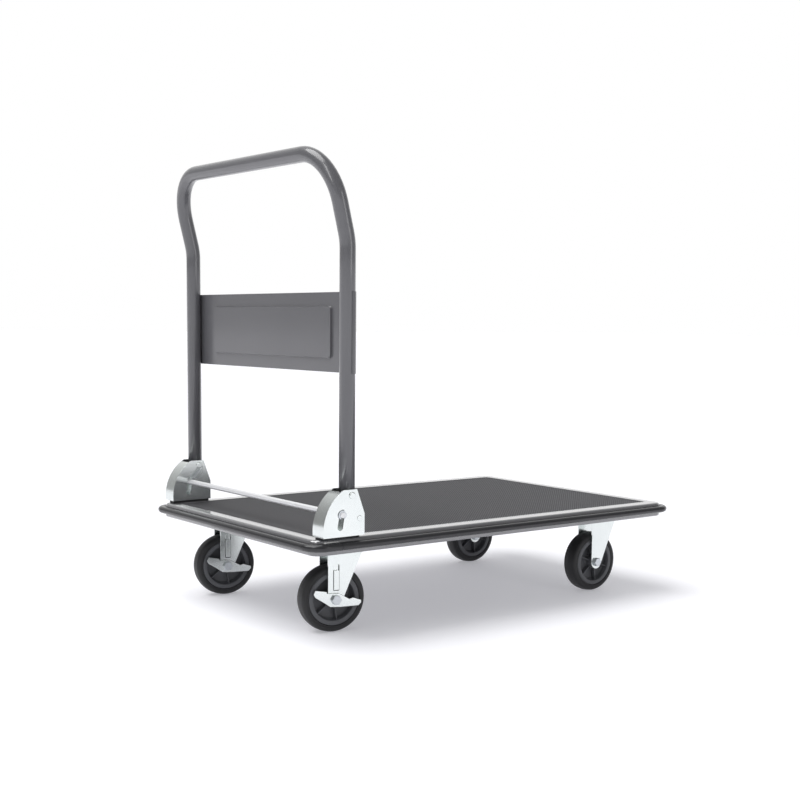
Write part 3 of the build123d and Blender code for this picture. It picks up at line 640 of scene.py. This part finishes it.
def wheelMatrix(joint):  # x forward, y up, z out of the wheel's right-hand face
    outward = -Vector(joint["axis"]).normalized()
    up = Vector((0, 0, 1))
    forward = up.cross(outward)
    turn = Matrix((forward, up, outward)).transposed().to_4x4()
    return Matrix.Translation(Vector(joint["pos_m"])) @ turn


def spun(profile, steps):
    loops = []
    for radius, along in profile:
        angles = [2 * math.pi * k / steps for k in range(steps)]
        loops.append([Vector((radius * math.cos(a), radius * math.sin(a), along)) * mm for a in angles])
    return loops


def tyreProfile():  # (radius, place along the axle), from the right-hand bead over the tread to the other
    half, shoulder = tyre["half"], tyre["shoulder"]
    right = [(tyre["rim"] + out, half - inward) for out, inward in tyre["sideWall"]]
    for k in range(tyre["arcSteps"] + 1):
        angle = math.radians(90 * k / tyre["arcSteps"])
        radius = tyre["radius"] - tyre["crown"] - shoulder * (1 - math.sin(angle))
        right.append((radius, half - tyre["inset"] - shoulder * (1 - math.cos(angle))))
    right += [(tyre["radius"] - inward, along) for inward, along in tyre["tread"]]
    return right + [(radius, -along) for radius, along in reversed(right[:-1])]


def hubProfile():  # the same kind of outline: outer ring, dished web and boss, each corner eased
    rim, inner, half, web = hub["rim"], hub["inner"], hub["half"], hub["web"]
    boss, bossHalf = hub["boss"], hub["bossHalf"]
    right = [(rim, half - 1.2), (rim - 0.8, half - 0.3), (rim - 1.6, half)]
    right += [(inner + 1.4, half), (inner + 0.5, half - 0.5), (inner, half - 1.6)]
    right += [(inner - 1.0, web + 2.0), (inner - 3.0, web), (boss + 3.0, web), (boss + 1.0, web + 2.0)]
    right += [(boss, bossHalf - 1.0), (boss - 0.7, bossHalf - 0.2), (boss - 1.5, bossHalf)]
    right.append((hub["bore"], bossHalf))
    return right + [(radius, -along) for radius, along in reversed(right)]


def ribTree():  # thin ribs round the boss, on both faces of the web
    inputs = {"Count": "Int", "Material": "Material"}
    inputs.update({measure: "Float" for measure in ("Middle", "Long", "Thick", "Deep", "Turn")})
    kit, given = newTree("wheelRibs", inputs)
    sockets = {"X": given["Long"], "Y": given["Thick"], "Z": given["Deep"]}
    size = kit.node("ShaderNodeCombineXYZ", None, sockets)
    sockets = {"Size": size, "Vertices X": 5, "Vertices Y": 2, "Vertices Z": 2}
    blank = kit.node("GeometryNodeMeshCube", None, sockets)
    out = kit.node("ShaderNodeCombineXYZ", None, {"X": given["Middle"]})
    rib = kit.node("GeometryNodeTransform", None, {"Geometry": blank, "Translation": out})
    spots = kit.node("GeometryNodePoints", None, {"Count": given["Count"]})
    index = kit.node("GeometryNodeInputIndex")
    angle = given["Turn"] + index * (math.tau / hub["ribs"])
    facing = kit.node("ShaderNodeCombineXYZ", None, {"Z": angle})
    sockets = {"Points": spots, "Instance": rib, "Rotation": facing}
    placed = kit.node("GeometryNodeInstanceOnPoints", None, sockets)
    return closeTree(kit, placed, given["Material"])


wheelRibs = ribTree()


def makeWheel(name):
    joint = joints[f"wheel_{name}_spin"]
    place = wheelMatrix(joint)
    body = f"wheel_{name}"
    rubber = bmesh.new()
    skinLoops(rubber, spun(tyreProfile(), tyre["steps"]), around=True)
    tread = linkPiece(f"tyre_{name}_tread", meshFrom(rubber, f"tyre_{name}_tread", 30))
    tread.data.transform(place)
    fitPiece(tread, body, "tyre_rubber", f"tyre_{name}")
    plastic = bmesh.new()
    skinLoops(plastic, spun(hubProfile(), tyre["steps"]), around=True)
    centre = linkPiece(f"hub_{name}_centre", meshFrom(plastic, f"hub_{name}_centre", 30))
    values = {
        "Count": hub["ribs"],
        "Middle": (hub["boss"] + hub["inner"]) / 2 * mm,
        "Long": (hub["inner"] - hub["boss"] + hub["ribSunk"]) * mm,
        "Thick": hub["ribThick"] * mm,
        "Deep": 2 * hub["ribTop"] * mm,
        "Turn": math.radians(hub["ribStart"]),
        "Material": materials["hub_plastic"],
    }
    ribs = linkPiece(f"hub_{name}_ribs", fromMesh(wheelRibs, f"hub_{name}_ribs", values))
    for piece in (centre, ribs):
        piece.data.transform(place)
    fitPiece(centre, body, "hub_plastic", f"hub_{name}")
    edge = ribs.modifiers.new("edge", "BEVEL")
    edge.width = hub["ribEdge"] * mm
    edge.segments = 2
    fitPiece(ribs, body, "hub_plastic")


for name in ("front_left", "front_right", "rear_left", "rear_right"):
    makeWheel(name)
print("wheels made")

spring = {"wire": 1.1, "coil": 3.4, "turns": 9, "perTurn": 16, "sides": 8, "headX": 65.7, "headZ": 67.5}
spring.update({"anchorFar": 8.5, "anchorNear": 4.0, "anchorUp": 1.2, "headGap": 5.0, "hookGap": 3.0})
spring.update({"hook": 6.6, "hookSteps": 12, "hookStart": -60, "hookTurn": 270})


def makeSpring(side):
    low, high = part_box(f"spring_{side}")
    barLow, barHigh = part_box("release_bar")
    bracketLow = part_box(f"bracket_{side}")[0]
    middleY = (low.y + high.y) / 2
    foot = Vector(((barLow.x + barHigh.x) / 2, middleY, (barLow.z + barHigh.z) / 2))
    head = Vector((bracketLow.x + spring["headX"] * mm, middleY, bracketLow.z + spring["headZ"] * mm))
    along = (foot - head).normalized()
    across = Vector((0, 1, 0))
    third = along.cross(across)
    toCheek = across * sides[side] * mm
    points = [head + toCheek * spring["anchorFar"]]
    points.append(head + toCheek * spring["anchorNear"] - along * spring["anchorUp"] * mm)
    start = spring["headGap"] * mm
    length = (foot - head).length - start - (spring["hook"] + spring["hookGap"]) * mm
    total = spring["turns"] * spring["perTurn"]
    for k in range(total + 1):
        angle = math.tau * k / spring["perTurn"]
        turned = (across * math.cos(angle) + third * math.sin(angle)) * spring["coil"] * mm
        points.append(head + along * (start + length * k / total) + turned)
    for k in range(spring["hookSteps"] + 1):  # the hook round the bar
        angle = math.radians(spring["hookStart"] + spring["hookTurn"] * k / spring["hookSteps"])
        points.append(foot + (third * math.sin(angle) - along * math.cos(angle)) * spring["hook"] * mm)
    wire = spring["wire"] / 2 * mm
    bends = [0.0] * len(points)
    mesh = tubeMesh(f"spring_{side}_coil", points, bends, wire, spring["sides"], "spring_steel", 1)
    piece = linkPiece(f"spring_{side}_coil", mesh)
    piece.data.materials.clear()
    piece.data.materials.append(materials["spring_steel"])
    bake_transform(piece)
    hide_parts(f"spring_{side}")


for side in sides:
    makeSpring(side)
print("springs made")

for node, shown in cadNodes.items():  # the parts that are shown as they come from CAD
    if not shown.hide_render:
        shown.data.materials.clear()
        shown.data.materials.append(materials[slotOf[node]])
        shadeByAngle(shown.data, 30)

studio = {"floor": 60.0, "squares": 8, "clouds": 2.0, "roughness": 0.9, "lift": 0.3, "glow": rgb(1, 1, 1.06)}
studio.update({"dark": rgb(0.73, 0.73, 0.75), "light": rgb(0.75, 0.75, 0.77)})
studio.update({"behind": (0.61, 0.79, 0.0), "wall": ((0.66, 0.26), (0.93, 1.0))})
sun = {"power": 2.3, "soft": 48, "aim": (0.35, -0.25, -1.0)}
lights = {
    "keyLight": {"place": (-1.9, -0.9, 1.9), "aim": (-0.4, -0.2, 0.5), "size": (0.5, 1.4), "power": 10},
    "fillLight": {"place": (0.5, -2.6, 1.0), "aim": (0, 0, 0.3), "size": (0.8, 1.2), "power": 7},
}
view = {"lens": 57.9, "sensor": 36, "shiftX": -0.025, "shiftY": 0.081}
view.update({"heading": 52.4, "pitch": -6.3, "roll": 0.6, "place": (-1.6236, -2.1189, 0.5618)})


def paintFloor(kit):
    return {
        "Base Color": kit.mixColour(kit.noise(studio["clouds"], 2), studio["dark"], studio["light"]),
        "Roughness": studio["roughness"],
        "Emission Color": studio["glow"],
        "Emission Strength": studio["lift"],
    }


def makeFloor():
    bm = bmesh.new()
    squares = studio["squares"]
    bmesh.ops.create_grid(bm, x_segments=squares, y_segments=squares, size=studio["floor"])
    floor = linkPiece("studioFloor", meshFrom(bm, "studioFloor"))
    floor.data.materials.append(makeMaterial("paleFloor", paintFloor))


def makeWorld():  # white behind the truck, greyer on the side that it is seen from
    world = bpy.data.worlds.new("studio")
    world.use_nodes = True
    world.node_tree.nodes.clear()
    room = Kit(world.node_tree)
    facing = room.node("ShaderNodeTexCoord", out="Generated")
    dot = {"operation": "DOT_PRODUCT"}
    along = room.node("ShaderNodeVectorMath", dot, {0: facing, 1: studio["behind"]}, out="Value")
    wall = room.ramp(along * 0.5 + 0.5, *studio["wall"])
    backdrop = room.node("ShaderNodeBackground", None, {"Color": wall, "Strength": 1.0})
    room.node("ShaderNodeOutputWorld", None, {"Surface": backdrop})
    bpy.context.scene.world = world


def hangLamp(lamp, place, direction):
    holder = bpy.data.objects.new(lamp.name, lamp)
    holder.location = place
    holder.rotation_euler = Vector(direction).to_track_quat("-Z", "Y").to_euler()
    bpy.context.scene.collection.objects.link(holder)


def makeSun():
    lamp = bpy.data.lights.new("sky", "SUN")
    lamp.energy = sun["power"]
    lamp.angle = math.radians(sun["soft"])
    hangLamp(lamp, (0, 0, 0), sun["aim"])


def makeLight(name, light):
    lamp = bpy.data.lights.new(name, "AREA")
    lamp.shape = "RECTANGLE"
    lamp.size, lamp.size_y = light["size"]
    lamp.energy = light["power"]
    hangLamp(lamp, light["place"], Vector(light["aim"]) - Vector(light["place"]))


def makeCamera():
    lens = bpy.data.cameras.new("view")
    lens.lens = view["lens"]
    lens.sensor_width = view["sensor"]
    lens.shift_x = view["shiftX"]
    lens.shift_y = view["shiftY"]
    camera = bpy.data.objects.new("view", lens)
    heading, pitch, roll = [math.radians(view[turn]) for turn in ("heading", "pitch", "roll")]
    level = math.cos(pitch)
    forward = Vector((math.cos(heading) * level, math.sin(heading) * level, math.sin(pitch)))
    turned = forward.to_track_quat("-Z", "Y").to_matrix() @ Matrix.Rotation(roll, 3, "Z")
    camera.matrix_world = Matrix.Translation(view["place"]) @ turned.to_4x4()
    bpy.context.scene.collection.objects.link(camera)
    bpy.context.scene.camera = camera


makeFloor()
makeWorld()
makeSun()
for name, light in lights.items():
    makeLight(name, light)
makeCamera()
bpy.context.scene.view_settings.view_transform = "Standard"
